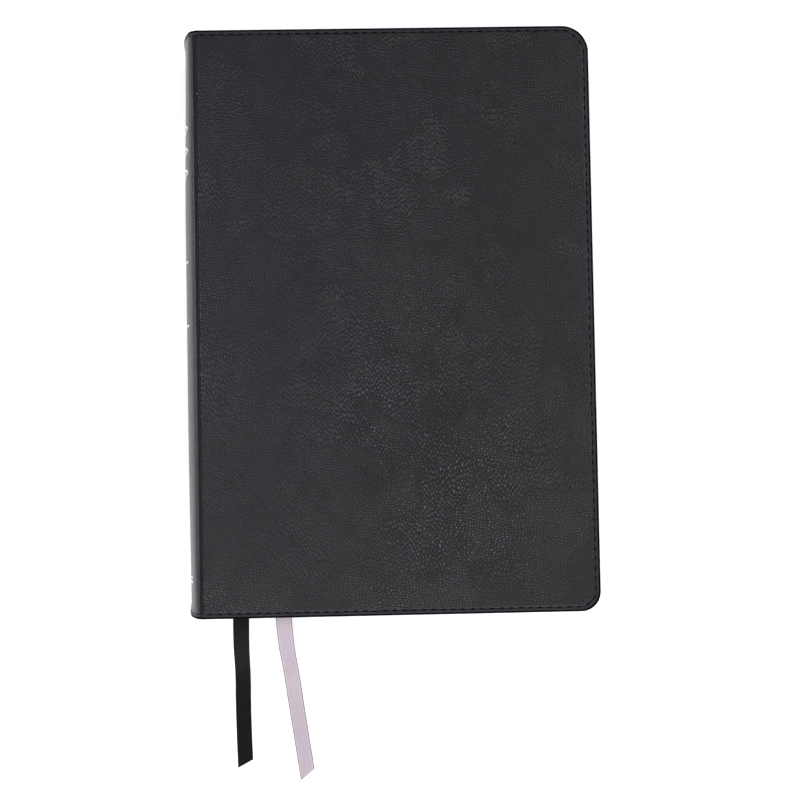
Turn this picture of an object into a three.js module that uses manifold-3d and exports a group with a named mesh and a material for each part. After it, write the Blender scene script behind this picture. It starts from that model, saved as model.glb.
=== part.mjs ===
// A soft-cover book with a rounded spine and two ribbon markers, lying on its back cover.
// Millimetres, +Z up, +Y towards the head, +X towards the fore-edge.
// The origin is under the middle of the closed book, on the surface that it lies on.
import * as THREE from "three";
import { mergeVertices } from "three/addons/utils/BufferGeometryUtils.js";
import Module from "manifold-3d";

const wasm = await Module();
wasm.setup();

// Driving dimensions
const COVER_WIDTH = 158.5; // from the joint beside the spine to the fore-edge
const COVER_HEIGHT = 235;
const BOOK_THICKNESS = 36;
const SPINE_BULGE = 7; // how far the rounded spine stands out past the joint
const COVER_CORNER = 8;
const JOINT_CORNER = 1;
const LEAST_CORNER = 0.2; // a corner that is as good as square
const GAP = 0.3; // between touching pieces
const PAST = 1; // how far a cutting tool stands out of what it cuts
const CORNER_STEPS = 6; // curve segments to a corner

// Cover build-up, from the outside in
const LEATHER_SKIN = 0.9;
const BOARD = 0.9;
const PASTEDOWN = 0.4;
const COVER_THICKNESS = LEATHER_SKIN + GAP + BOARD + GAP + PASTEDOWN;
const LEATHER_RIM = 1.2; // leather round the board's edge
const TURN_IN = 5; // leather folded onto the inner face

// Seam round the covers
const SEAM_INSET = 1.7;
const THREAD_WIDTH = 0.6;
const THREAD_HEIGHT = 0.3;
const SEAM_JOINT_END = 2; // where the seam stops beside the joint

// Text block
const PAGE_WIDTH = 150;
const PAGE_HEIGHT = 228.6;
const PAGE_CORNER = 6;
const FLYLEAF = 0.3;
const FLYLEAF_HINGE = 5; // from the joint to the flyleaf's fold
const FLYLEAF_FOLD_STEPS = 3;
const TRIM_HALF_HEIGHT = 5; // of the block that trims a page's corners
const GATHERINGS = 16;
const RIBBON_SLOT = 1; // the gap between two gatherings that a ribbon lies in
const MAUVE_SLOT_ABOVE = 13;
const BLACK_SLOT_ABOVE = 14;

// Spine linings: nested shells about one centre line, from the folds outwards
const MID_Z = BOOK_THICKNESS / 2;
const FOLD_RADIUS = 20.3;
const MULL = 0.3;
const KRAFT = 0.4;
const STIFFENER = 0.5;
const SPINE_LEATHER = 1;
const SPINE_SEAM_DEPTH = 0.6;
const SHELL_STEPS = 16;

// Each lining's half height, and its half angle in degrees about the centre line
const MULL_REACH = 104;
const MULL_ANGLE = 42;
const KRAFT_REACH = 108;
const KRAFT_ANGLE = 40;
const STIFFENER_REACH = 112;
const STIFFENER_ANGLE = 37;
const SPINE_LEATHER_ANGLE = 38;
const SPINE_STITCH_ANGLE = 37;

// Headbands
const BAND_THICKNESS = 1.8;
const BAND_WIDTH = 1.6;
const BAND_STEPS = 16;
const BAND_ANGLE = 40;

// Ribbon markers
const RIBBON_WIDTH = 6.35;
const RIBBON_THICKNESS = 0.4;
const RIBBON_STEPS = 60;

const JOINT_X = (SPINE_BULGE - COVER_WIDTH) / 2;
const HEAD_Y = COVER_HEIGHT / 2;
const PAGE_HEAD_Y = PAGE_HEIGHT / 2;

// Radii of the spine's shells
const MULL_RADIUS = FOLD_RADIUS + GAP;
const KRAFT_RADIUS = MULL_RADIUS + MULL + GAP;
const STIFFENER_RADIUS = KRAFT_RADIUS + KRAFT + GAP;
const SPINE_RADIUS = STIFFENER_RADIUS + STIFFENER + GAP;
const SPINE_OUTER_RADIUS = SPINE_RADIUS + SPINE_LEATHER;
const SPINE_CENTRE_X = JOINT_X - SPINE_BULGE + SPINE_OUTER_RADIUS;

// Materials
const blackLeather = { color: 0x323236, roughness: 0.5, metalness: 0 };
const spineLeather = { color: 0x303034, roughness: 0.4, metalness: 0 };
const card = { color: 0x8d8a84, roughness: 0.9, metalness: 0 };
const endpaper = { color: 0x1c1c1f, roughness: 0.8, metalness: 0 };
const thread = { color: 0x0e0e10, roughness: 0.7, metalness: 0 };
const kraftPaper = { color: 0xa98a60, roughness: 0.9, metalness: 0 };
const gauze = { color: 0xe6e1d3, roughness: 0.95, metalness: 0 };
const bandSilk = { color: 0xd9d9de, roughness: 0.6, metalness: 0 };
const biblePaper = { color: 0xefece4, roughness: 0.8, metalness: 0 };
const blackSatin = { color: 0x222224, roughness: 0.4, metalness: 0 };
const mauveSatin = { color: 0xd0c2cd, roughness: 0.4, metalness: 0 };

function named(name, geometry, look) {
  const piece = new THREE.Mesh(geometry, new THREE.MeshStandardMaterial(look));
  piece.name = name;
  return piece;
}

function solid(geometry) {
  const bare = geometry.clone();
  bare.deleteAttribute("normal");
  bare.deleteAttribute("uv");
  const merged = mergeVertices(bare, 1e-4);
  return new wasm.Manifold(new wasm.Mesh({
    numProp: 3,
    vertProperties: merged.attributes.position.array,
    triVerts: new Uint32Array(merged.index.array),
  }));
}

function geometryOf(body) {
  const mesh = body.getMesh();
  const geometry = new THREE.BufferGeometry();
  geometry.setAttribute("position", new THREE.BufferAttribute(mesh.vertProperties, 3));
  geometry.setIndex(new THREE.BufferAttribute(mesh.triVerts, 1));
  geometry.computeVertexNormals();
  return geometry;
}

// A plate outline with small corners at x = left and round ones at x = right.
function plateOutline(left, right, halfHeight, nearCorner, farCorner) {
  const outline = new THREE.Shape();
  outline.absarc(right - farCorner, farCorner - halfHeight, farCorner, -Math.PI / 2, 0);
  outline.absarc(right - farCorner, halfHeight - farCorner, farCorner, 0, Math.PI / 2);
  outline.absarc(left + nearCorner, halfHeight - nearCorner, nearCorner, Math.PI / 2, Math.PI);
  outline.absarc(left + nearCorner, nearCorner - halfHeight, nearCorner, Math.PI, 1.5 * Math.PI);
  return outline;
}

function slab(outline, bottom, top) {
  const options = { depth: top - bottom, bevelEnabled: false, curveSegments: CORNER_STEPS };
  return new THREE.ExtrudeGeometry(outline, options).translate(0, 0, bottom);
}

// The cover's outline, drawn in by inset on all four sides.
function coverPlate(inset, bottom, top) {
  const left = JOINT_X + inset;
  const right = JOINT_X + COVER_WIDTH - inset;
  const near = Math.max(JOINT_CORNER - inset, LEAST_CORNER);
  const far = COVER_CORNER - inset;
  return slab(plateOutline(left, right, HEAD_Y - inset, near, far), bottom, top);
}

// A U-shaped strip that follows the seam along the head, fore-edge and tail.
function seamStrip(width, joint, bottom, top) {
  const outer = SEAM_INSET - width / 2;
  const inner = SEAM_INSET + width / 2;
  const right = JOINT_X + COVER_WIDTH;
  const centreX = right - COVER_CORNER;
  const centreY = HEAD_Y - COVER_CORNER;
  const strip = new THREE.Shape();
  strip.moveTo(joint, outer - HEAD_Y);
  strip.lineTo(centreX, outer - HEAD_Y);
  strip.absarc(centreX, -centreY, COVER_CORNER - outer, -Math.PI / 2, 0);
  strip.absarc(centreX, centreY, COVER_CORNER - outer, 0, Math.PI / 2);
  strip.lineTo(joint, HEAD_Y - outer);
  strip.lineTo(joint, HEAD_Y - inner);
  strip.absarc(centreX, centreY, COVER_CORNER - inner, Math.PI / 2, 0, true);
  strip.absarc(centreX, -centreY, COVER_CORNER - inner, 0, -Math.PI / 2, true);
  strip.lineTo(joint, inner - HEAD_Y);
  return slab(strip, bottom, top);
}

// The four pieces of the front cover. The back cover is the same, turned over.
function cover(side) {
  const top = BOOK_THICKNESS;
  const bottom = top - COVER_THICKNESS;
  const skinBottom = top - LEATHER_SKIN;
  const boardTop = skinBottom - GAP;
  const boardBottom = boardTop - BOARD;
  const pastedownTop = bottom + PASTEDOWN;
  const jointX = JOINT_X + SEAM_JOINT_END;
  const grooveFloor = top - 2 * THREAD_HEIGHT;
  const groove = seamStrip(THREAD_WIDTH + 2 * GAP, jointX - GAP, grooveFloor, top + PAST);
  const leather = solid(coverPlate(0, bottom, top))
    .subtract(solid(coverPlate(LEATHER_RIM, pastedownTop, skinBottom)))
    .subtract(solid(coverPlate(TURN_IN, bottom - PAST, boardBottom)))
    .subtract(solid(groove));
  const board = coverPlate(LEATHER_RIM + GAP, boardBottom, boardTop);
  const pastedown = coverPlate(TURN_IN + GAP, bottom, pastedownTop);
  const stitching = seamStrip(THREAD_WIDTH, jointX, top - THREAD_HEIGHT, top);
  const group = new THREE.Group();
  group.add(named(side + "_cover_leather", geometryOf(leather), blackLeather));
  group.add(named(side + "_cover_board", board, card));
  group.add(named(side + "_pastedown", pastedown, endpaper));
  group.add(named(side + "_cover_stitching", stitching, thread));
  return group;
}

// A free endpaper, with a round edge at its fold so that it can turn there.
function flyleaf(side) {
  const half = FLYLEAF / 2;
  const profile = new THREE.Shape();
  profile.moveTo(PAGE_WIDTH, -half);
  profile.lineTo(PAGE_WIDTH, half);
  profile.absarc(0, 0, half, Math.PI / 2, 1.5 * Math.PI);
  const leaf = alongPage(profile, FLYLEAF_FOLD_STEPS);
  leaf.position.set(JOINT_X + FLYLEAF_HINGE, 0, BOOK_THICKNESS - COVER_THICKNESS - GAP - half);
  leaf.name = side + "_flyleaf";
  leaf.material = new THREE.MeshStandardMaterial(endpaper);
  const group = new THREE.Group();
  group.add(leaf);
  return group;
}

// A profile in X and Z, run from tail to head and trimmed to the page's round corners.
function alongPage(profile, curveSegments) {
  const options = { depth: PAGE_HEIGHT, bevelEnabled: false, curveSegments };
  const bar = new THREE.ExtrudeGeometry(profile, options);
  bar.rotateX(Math.PI / 2);
  bar.translate(0, PAGE_HEAD_Y, 0);
  const page = plateOutline(-COVER_CORNER, PAGE_WIDTH, PAGE_HEAD_Y, LEAST_CORNER, PAGE_CORNER);
  const trim = slab(page, -TRIM_HALF_HEIGHT, TRIM_HALF_HEIGHT);
  return new THREE.Mesh(geometryOf(solid(bar).intersect(solid(trim))));
}

// How far the rounded folds lie from the joint at height z.
function foldX(z) {
  return SPINE_CENTRE_X - Math.sqrt(FOLD_RADIUS ** 2 - (z - MID_Z) ** 2);
}

function gatherings() {
  const bottom = COVER_THICKNESS + 2 * GAP + FLYLEAF;
  const gapsBetween = (GATHERINGS - 3) * GAP + 2 * RIBBON_SLOT;
  const thickness = (BOOK_THICKNESS - 2 * bottom - gapsBetween) / GATHERINGS;
  const half = thickness / 2;
  const profile = new THREE.Shape();
  profile.moveTo(PAGE_WIDTH, -half);
  profile.lineTo(PAGE_WIDTH, half);
  profile.absarc(half, 0, half, Math.PI / 2, 1.5 * Math.PI);
  const shared = alongPage(profile, CORNER_STEPS).geometry;
  const group = new THREE.Group();
  const slots = {};
  let z = bottom;
  for (let n = 1; n <= GATHERINGS; n += 1) {
    const name = "gathering_" + String(n).padStart(2, "0");
    const piece = named(name, shared, biblePaper);
    piece.position.set(foldX(z + half), 0, z + half);
    group.add(piece);
    z += thickness;
    const roomy = n === MAUVE_SLOT_ABOVE || n === BLACK_SLOT_ABOVE;
    const gap = roomy ? RIBBON_SLOT : GAP;
    slots[n] = z + gap / 2;
    z += gap;
  }
  return { group, slots };
}

// An arc-shaped section about the spine's centre line, with its half angle in degrees either side of
// mid-height, run from tailY to headY.
function shell(inner, outer, angle, tailY, headY, steps) {
  const halfAngle = THREE.MathUtils.degToRad(angle);
  const section = new THREE.Shape();
  section.absarc(0, 0, outer, Math.PI - halfAngle, Math.PI + halfAngle);
  section.absarc(0, 0, inner, Math.PI + halfAngle, Math.PI - halfAngle, true);
  const options = { depth: headY - tailY, bevelEnabled: false, curveSegments: steps };
  const bar = new THREE.ExtrudeGeometry(section, options);
  bar.rotateX(Math.PI / 2);
  return bar.translate(SPINE_CENTRE_X, headY, MID_Z);
}

// A lining of the spine, centred on the middle of the book's height.
function lining(radius, thickness, angle, reach) {
  return shell(radius, radius + thickness, angle, -reach, reach, SHELL_STEPS);
}

function spine() {
  const group = new THREE.Group();
  const mull = lining(MULL_RADIUS, MULL, MULL_ANGLE, MULL_REACH);
  const kraft = lining(KRAFT_RADIUS, KRAFT, KRAFT_ANGLE, KRAFT_REACH);
  const stiffener = lining(STIFFENER_RADIUS, STIFFENER, STIFFENER_ANGLE, STIFFENER_REACH);
  const seamY = HEAD_Y - SEAM_INSET;
  const halfThread = THREAD_WIDTH / 2;
  const seamFloor = SPINE_OUTER_RADIUS - SPINE_SEAM_DEPTH;
  let leather = solid(lining(SPINE_RADIUS, SPINE_LEATHER, SPINE_LEATHER_ANGLE, HEAD_Y));
  for (const [end, y] of [["head", seamY], ["tail", -seamY]]) {
    const low = y - halfThread;
    const high = y + halfThread;
    const groove = shell(
      seamFloor, SPINE_OUTER_RADIUS + PAST, SPINE_LEATHER_ANGLE + PAST, low - GAP, high + GAP, SHELL_STEPS);
    leather = leather.subtract(solid(groove));
    const stitches = shell(
      seamFloor + GAP, SPINE_OUTER_RADIUS, SPINE_STITCH_ANGLE, low, high, SHELL_STEPS);
    group.add(named("spine_stitching_" + end, stitches, thread));
  }
  group.add(named("spine_leather", geometryOf(leather), spineLeather));
  group.add(named("spine_stiffener", stiffener, card));
  group.add(named("kraft_lining", kraft, kraftPaper));
  group.add(named("mull", mull, gauze));
  return group;
}

function headbands() {
  const group = new THREE.Group();
  const inner = FOLD_RADIUS - BAND_THICKNESS / 2;
  const outer = FOLD_RADIUS + BAND_THICKNESS / 2;
  const low = PAGE_HEAD_Y + GAP;
  const high = low + BAND_WIDTH;
  const head = shell(inner, outer, BAND_ANGLE, low, high, BAND_STEPS);
  const tail = shell(inner, outer, BAND_ANGLE, -high, -low, BAND_STEPS);
  group.add(named("head_band", head, bandSilk));
  group.add(named("tail_band", tail, bandSilk));
  return group;
}

// A satin ribbon swept along its route, as a flattened eight-sided section.
// The route is written as distance from the joint, place along the page, and height.
function ribbon(name, route, look) {
  const points = route.map(([x, y, z]) => new THREE.Vector3(JOINT_X + x, y, z));
  const halfWide = RIBBON_WIDTH / 2;
  const halfThick = RIBBON_THICKNESS / 2;
  const edge = halfWide - halfThick / 2;
  const section = new THREE.Shape();
  section.moveTo(-halfThick, -edge);
  section.lineTo(-halfThick / 2, -halfWide);
  section.lineTo(halfThick / 2, -halfWide);
  section.lineTo(halfThick, -edge);
  section.lineTo(halfThick, edge);
  section.lineTo(halfThick / 2, halfWide);
  section.lineTo(-halfThick / 2, halfWide);
  section.lineTo(-halfThick, edge);
  const path = new THREE.CatmullRomCurve3(points);
  const options = { steps: RIBBON_STEPS, bevelEnabled: false, extrudePath: path };
  return named(name, new THREE.ExtrudeGeometry(section, options), look);
}

function ribbons(slots) {
  const group = new THREE.Group();
  const black = slots[BLACK_SLOT_ABOVE];
  const mauve = slots[MAUVE_SLOT_ABOVE];
  const blackRoute = [
    [5.2, 113, black], [6.6, 80, black], [8.2, 45, black], [9.8, 10, black],
    [11.4, -25, black], [13, -60, black], [14.4, -90, black], [15.1, -108, black],
    [15.2, -115, black], [15, -121, black - 0.9], [14.6, -127, black - 4],
    [14, -133, black - 9.2], [13.4, -138.5, black - 15.4], [12.8, -144, black - 21.6],
    [12.3, -150, black - 26.1], [12, -156.5, 0.7], [12, -163, 0.37],
    [12.1, -170, 0.35], [12.3, -177.5, 0.35], [12.5, -184.6, 0.35],
  ];
  const mauveRoute = [
    [6.4, 113, mauve], [10.2, 80, mauve], [14.1, 45, mauve], [18, 10, mauve],
    [21.9, -25, mauve], [25.8, -60, mauve], [29.1, -90, mauve], [31.1, -108, mauve],
    [31.7, -115, mauve], [32, -121, mauve - 0.9], [32.2, -127, mauve - 4],
    [32.3, -133, mauve - 9.2], [32.5, -138.5, mauve - 15], [32.8, -144, mauve - 20.2],
    [33.3, -150, mauve - 24], [34, -156.5, 0.8], [34.9, -163, 0.37],
    [35.9, -170, 0.35], [37.2, -179, 0.35], [38.8, -189.8, 0.35],
  ];
  group.add(ribbon("ribbon_black", blackRoute, blackSatin));
  group.add(ribbon("ribbon_mauve", mauveRoute, mauveSatin));
  return group;
}

// Turns a front piece over, about the book's middle, to make the back one.
function turnedOver(group) {
  group.rotation.x = Math.PI;
  group.position.z = BOOK_THICKNESS;
  return group;
}

const block = gatherings();
const book = new THREE.Group();
book.add(cover("front"));
book.add(turnedOver(cover("back")));
book.add(flyleaf("front"));
book.add(turnedOver(flyleaf("back")));
book.add(block.group);
book.add(spine());
book.add(headbands());
book.add(ribbons(block.slots));

export default book;
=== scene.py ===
"""A closed bible: limp black leather covers stitched round the edge, a rounded spine, a sewn text block with
silver edges, and two satin ribbon markers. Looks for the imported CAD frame, in metres."""

import math
import random

import bmesh
import bpy
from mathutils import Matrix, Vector


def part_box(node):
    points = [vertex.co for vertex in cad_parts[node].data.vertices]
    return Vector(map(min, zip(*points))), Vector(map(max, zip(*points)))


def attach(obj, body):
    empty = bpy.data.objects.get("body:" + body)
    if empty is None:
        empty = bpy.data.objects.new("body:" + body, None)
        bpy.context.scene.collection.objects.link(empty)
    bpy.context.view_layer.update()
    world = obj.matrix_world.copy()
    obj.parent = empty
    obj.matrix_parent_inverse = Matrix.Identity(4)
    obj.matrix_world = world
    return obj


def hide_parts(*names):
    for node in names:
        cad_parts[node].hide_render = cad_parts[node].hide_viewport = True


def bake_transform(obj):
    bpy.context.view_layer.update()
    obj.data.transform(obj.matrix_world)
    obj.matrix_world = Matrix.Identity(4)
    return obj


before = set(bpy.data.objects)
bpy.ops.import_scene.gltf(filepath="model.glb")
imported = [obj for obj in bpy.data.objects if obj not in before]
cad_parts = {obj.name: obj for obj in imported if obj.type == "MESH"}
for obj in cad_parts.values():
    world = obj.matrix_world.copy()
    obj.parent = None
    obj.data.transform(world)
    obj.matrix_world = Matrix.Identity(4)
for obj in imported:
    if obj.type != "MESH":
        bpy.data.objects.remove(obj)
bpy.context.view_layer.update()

MM = 0.001
rng = random.Random(7)

# ---------------------------------------------------------------- sizes from the frame
cover_low, cover_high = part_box("front_cover_leather")
GATHERINGS = sorted(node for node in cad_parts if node.startswith("gathering_"))
page_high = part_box(GATHERINGS[-1])[1]
SPINE_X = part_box("spine_leather")[0].x
JOINT_X = cover_low.x
FORE_X = cover_high.x
HEAD_Y = cover_high.y
TOP_Z = cover_high.z
COVER_THICK = cover_high.z - cover_low.z
MID_Z = TOP_Z / 2
PAGE_HEAD_Y = page_high.y
HEAD_CORNER = 10.6 * MM
TAIL_CORNER = 7.8 * MM
SEAM_INSET = 2.05 * MM
SEAM_SPREAD = 0.3  # share by which the seam lies further in at the middle of a corner

# The spine leather starts this far onto the cover, beyond the crease of the joint.
CREASE_START = 1.6 * MM
SPINE_THICK = 1.1 * MM


# ---------------------------------------------------------------- materials
class Nodes:
    """A short way to write a material's nodes."""

    def __init__(self, name):
        self.material = bpy.data.materials.new(name)
        self.material.use_nodes = True
        self.tree = self.material.node_tree
        self.shader = self.tree.nodes["Principled BSDF"]

    def add(self, kind, settings=None, **inputs):
        node = self.tree.nodes.new(kind)
        for key, value in (settings or {}).items():
            setattr(node, key, value)
        for key, value in inputs.items():
            self.put(node, key, value)
        return node

    def put(self, node, key, value):
        socket = node.inputs[int(key[1:])] if key[0] == "i" and key[1:].isdigit() else node.inputs[key]
        if isinstance(value, bpy.types.NodeSocket):
            self.tree.links.new(value, socket)
        else:
            socket.default_value = value

    def math(self, operation, a, b=0.0):
        return self.add("ShaderNodeMath", {"operation": operation}, i0=a, i1=b).outputs[0]

    def vector(self, operation, a, b):
        return self.add("ShaderNodeVectorMath", {"operation": operation}, i0=a, i1=b).outputs[0]

    def length(self, vector):
        return self.add("ShaderNodeVectorMath", {"operation": "LENGTH"}, i0=vector).outputs["Value"]

    def range(self, value, low, high, to_low=0.0, to_high=1.0):
        node = self.add("ShaderNodeMapRange", {"interpolation_type": "SMOOTHSTEP"})
        for key, v in zip(("Value", "From Min", "From Max", "To Min", "To Max"),
                          (value, low, high, to_low, to_high)):
            self.put(node, key, v)
        return node.outputs[0]

    def noise(self, coordinates, scale, detail=2.0, roughness=0.5):
        return self.add("ShaderNodeTexNoise", Vector=coordinates, Scale=scale, Detail=detail,
                        Roughness=roughness)

    def cells(self, coordinates):
        """The distance to the nearest edge of irregular cells, each about one unit wide."""
        settings = {"feature": "DISTANCE_TO_EDGE", "voronoi_dimensions": "2D"}
        node = self.add("ShaderNodeTexVoronoi", settings, Vector=coordinates, Scale=1.0, Randomness=0.8)
        return node.outputs["Distance"]

    def mix(self, share, a, b):
        node = self.add("ShaderNodeMix", {"data_type": "RGBA"})
        for key, value in zip((0, 6, 7), (share, a, b)):
            self.put(node, f"i{key}", value)
        return node.outputs[2]

    def blend_values(self, share, a, b):
        node = self.add("ShaderNodeMix", {"data_type": "FLOAT"})
        for key, value in zip((0, 2, 3), (share, a, b)):
            self.put(node, f"i{key}", value)
        return node.outputs[0]

    def bump(self, height, distance, strength=1.0, normal=None):
        node = self.add("ShaderNodeBump", Height=height, Distance=distance, Strength=strength)
        if normal is not None:
            self.put(node, "Normal", normal)
        return node.outputs[0]

    def finish(self, **inputs):
        for key, value in inputs.items():
            self.put(self.shader, key.replace("_", " "), value)
        return self.material


def millimetres(n):
    """The piece's own UV map, which holds metres on its flat cut, in millimetres."""
    uv = n.add("ShaderNodeUVMap", {"uv_map": "flat"}).outputs[0]
    return n.vector("MULTIPLY", uv, (1000, 1000, 1000))


def object_millimetres(n):
    place = n.add("ShaderNodeTexCoord").outputs["Object"]
    return n.vector("MULTIPLY", place, (1000, 1000, 1000))


def pebbles(n, place, turn, scale):
    """Domed cells with narrow valleys between them. The scale is in cells per millimetre, each way."""
    slope = 0.46  # how far a cell's sides reach in from its valleys, as a share of a cell
    mapped = n.add("ShaderNodeMapping", Vector=place, Rotation=(0, 0, math.radians(turn)), Scale=(*scale, 1))
    return n.range(n.cells(mapped.outputs[0]), 0.0, slope)


# The patch where glints are painted on the leather: its middle, from the joint and along it,
# and how far it reaches each way, in millimetres.
GLINT_PATCH_MIDDLE = (98, -58, 0)
GLINT_PATCH_REACH = (44, 70)
# The first colour, for the grain's valleys, is painted shade, near black; the second is the leather's own
# grey.
VALLEY_PAINTED_SHADE = (0.0002, 0.0002, 0.0004, 1)
TOPS_GREY = (0.0362, 0.0354, 0.0412, 1)
# Painted glint: a bright grey laid on the cell tops in the glint patch.
PAINTED_GLINT_GREY = (0.118, 0.116, 0.126, 1)


def leather_cells(n, flat):
    """The pebbled grain: round cells in some patches, cells drawn out along creases in others."""
    drift = n.vector("SUBTRACT", n.noise(flat, 0.06, 1).outputs["Color"], (0.5, 0.5, 0.5))
    warped = n.vector("ADD", flat, n.vector("MULTIPLY", drift, (5, 5, 0)))
    round_cells = pebbles(n, warped, 10, (0.82, 0.90))
    rising = pebbles(n, warped, 38, (1.05, 0.52))
    falling = pebbles(n, warped, -52, (1.05, 0.55))
    first = n.range(n.noise(flat, 0.028, 2).outputs["Fac"], 0.50, 0.58)
    second = n.range(n.noise(n.vector("ADD", flat, (310, 90, 0)), 0.024, 2).outputs["Fac"], 0.54, 0.62)
    return n.blend_values(second, n.blend_values(first, round_cells, rising), falling)


def glint_patch(n, flat):
    """How strongly glints are painted on the leather: fully in the middle of its patch, hardly at all far
    away.
    """
    ragged_edge = n.range(n.noise(n.vector("ADD", flat, (520, 60, 0)), 0.021, 2).outputs["Fac"], 0.42, 0.60)
    patch_scale = (1 / GLINT_PATCH_REACH[0], 1 / GLINT_PATCH_REACH[1], 0)
    from_patch = n.vector("MULTIPLY", n.vector("SUBTRACT", flat, GLINT_PATCH_MIDDLE), patch_scale)
    far = n.math("SUBTRACT", n.length(from_patch), n.math("MULTIPLY", ragged_edge, 0.5))
    return n.range(far, 0.95, -0.05, 0.06, 1.0)


def leather_material(name, smooth=0.0):
    """Pebbled imitation leather. smooth is how far its grain is flattened, from 0 to 1."""
    n = Nodes(name)
    flat = millimetres(n)
    cells = leather_cells(n, flat)
    glint_share = glint_patch(n, flat)
    depth_noise = n.noise(n.vector("ADD", flat, (40, 700, 0)), 0.020, 3, 0.55).outputs["Fac"]
    depth = n.range(depth_noise, 0.34, 0.62, 0.46, 0.77)
    pores = n.noise(flat, 2.2, 3, 0.6).outputs["Fac"]
    height = n.math("ADD", n.math("MULTIPLY", cells, depth), n.math("MULTIPLY", pores, 0.2))
    waves = n.noise(flat, 0.035, 2).outputs["Fac"]
    normal = n.bump(height, 0.17 * MM, 1.0 - smooth, n.bump(waves, 1.0 * MM, 0.5))
    # In the glint patch the colour is painted lighter on the tops of the cells, as painted highlight, and
    # darker in the valleys, as painted shade.
    painted_cell_contrast = n.math("MULTIPLY", n.math("SUBTRACT", cells, 0.62), n.math("MULTIPLY", glint_share, 0.27))
    grain = n.math("ADD", n.math("MULTIPLY", cells, 0.75), n.math("MULTIPLY", pores, 0.42))
    tops = n.math("ADD", n.blend_values(depth, 0.50, grain), painted_cell_contrast)
    # Painted shade: the colour darkens from the cells' tops into the valleys between them.
    leather = n.mix(tops, VALLEY_PAINTED_SHADE, TOPS_GREY)
    # Painted glints: specks where the colour turns bright grey on the cell tops within the glint patch.
    speck = n.range(n.noise(flat, 0.85, 2, 0.6).outputs["Fac"], 0.42, 0.70)
    painted_glint = n.math("MULTIPLY", n.math("MULTIPLY", n.range(cells, 0.40, 1.0), glint_share), speck)
    colour = n.mix(painted_glint, leather, PAINTED_GLINT_GREY)
    roughness = n.math("ADD", n.math("MULTIPLY", tops, -0.24), 0.56 - 0.45 * smooth)
    n.shader.inputs["Specular IOR Level"].default_value = 0.28 + 0.2 * smooth
    return n.finish(Base_Color=colour, Roughness=roughness, Normal=normal)


def lip_material():
    """The strip outside the stitching, pressed smooth by the folding."""
    n = Nodes("pressed_lip")
    flat = millimetres(n)
    press = n.noise(flat, 0.9, 3).outputs["Fac"]
    colour = n.mix(press, (0.0170, 0.0177, 0.0215, 1), (0.0365, 0.0378, 0.0450, 1))
    n.shader.inputs["Specular IOR Level"].default_value = 0.10
    return n.finish(Base_Color=colour, Roughness=n.math("ADD", n.math("MULTIPLY", press, 0.15), 0.36),
                    Normal=n.bump(press, 0.05 * MM, 0.6))


def crease_shade_material():
    """Where the leather is pressed in along the joint and the seam: closed up, and darkened with painted
    shade for these grooves.
    """
    n = Nodes("crease_painted_shade")
    flat = millimetres(n)
    press = n.noise(flat, 1.4, 3).outputs["Fac"]
    n.shader.inputs["Specular IOR Level"].default_value = 0.12
    return n.finish(Base_Color=n.mix(press, (0.0045, 0.0045, 0.0055, 1), (0.0110, 0.0110, 0.0130, 1)),
                    Roughness=n.math("ADD", n.math("MULTIPLY", press, 0.15), 0.5),
                    Normal=n.bump(press, 0.06 * MM, 0.6))


def edge_material():
    """The leather's cut and folded edge, inked black."""
    n = Nodes("edge_ink")
    flat = millimetres(n)
    rough = n.noise(flat, 2.5, 3).outputs["Fac"]
    n.shader.inputs["Specular IOR Level"].default_value = 0.01
    return n.finish(Base_Color=n.mix(rough, (0.0018, 0.0018, 0.0030, 1), (0.0042, 0.0042, 0.0062, 1)),
                    Roughness=n.math("ADD", n.math("MULTIPLY", rough, 0.2), 0.6),
                    Normal=n.bump(rough, 0.05 * MM, 0.6))


def thread_material():
    n = Nodes("waxed_thread")
    place = object_millimetres(n)
    twist = n.add("ShaderNodeTexWave", {"bands_direction": "DIAGONAL"}, Vector=place, Scale=2.2,
                  Distortion=1.5, Detail=1.0).outputs["Fac"]
    n.shader.inputs["Specular IOR Level"].default_value = 0.08
    return n.finish(Base_Color=n.mix(twist, (0.0006, 0.0006, 0.0008, 1), (0.0018, 0.0018, 0.0022, 1)),
                    Roughness=0.6, Normal=n.bump(twist, 0.06 * MM, 0.8))


def paper_material(name, light, dark, roughness=0.85):
    """Uncoated paper or card: short soft fibres and a little mottle."""
    n = Nodes(name)
    place = object_millimetres(n)
    fibre = n.noise(n.vector("MULTIPLY", place, (1.0, 2.4, 1.0)), 1.7, 6, 0.65).outputs["Fac"]
    cloud = n.noise(place, 0.12, 2).outputs["Fac"]
    share = n.math("ADD", n.math("MULTIPLY", fibre, 0.6), n.math("MULTIPLY", cloud, 0.4))
    return n.finish(Base_Color=n.mix(n.range(share, 0.35, 0.65), dark, light), Roughness=roughness,
                    Normal=n.bump(fibre, 0.03 * MM, 0.5))


def page_face_material():
    return paper_material("thin_paper", (0.82, 0.80, 0.74, 1), (0.76, 0.74, 0.67, 1), 0.75)


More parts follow.
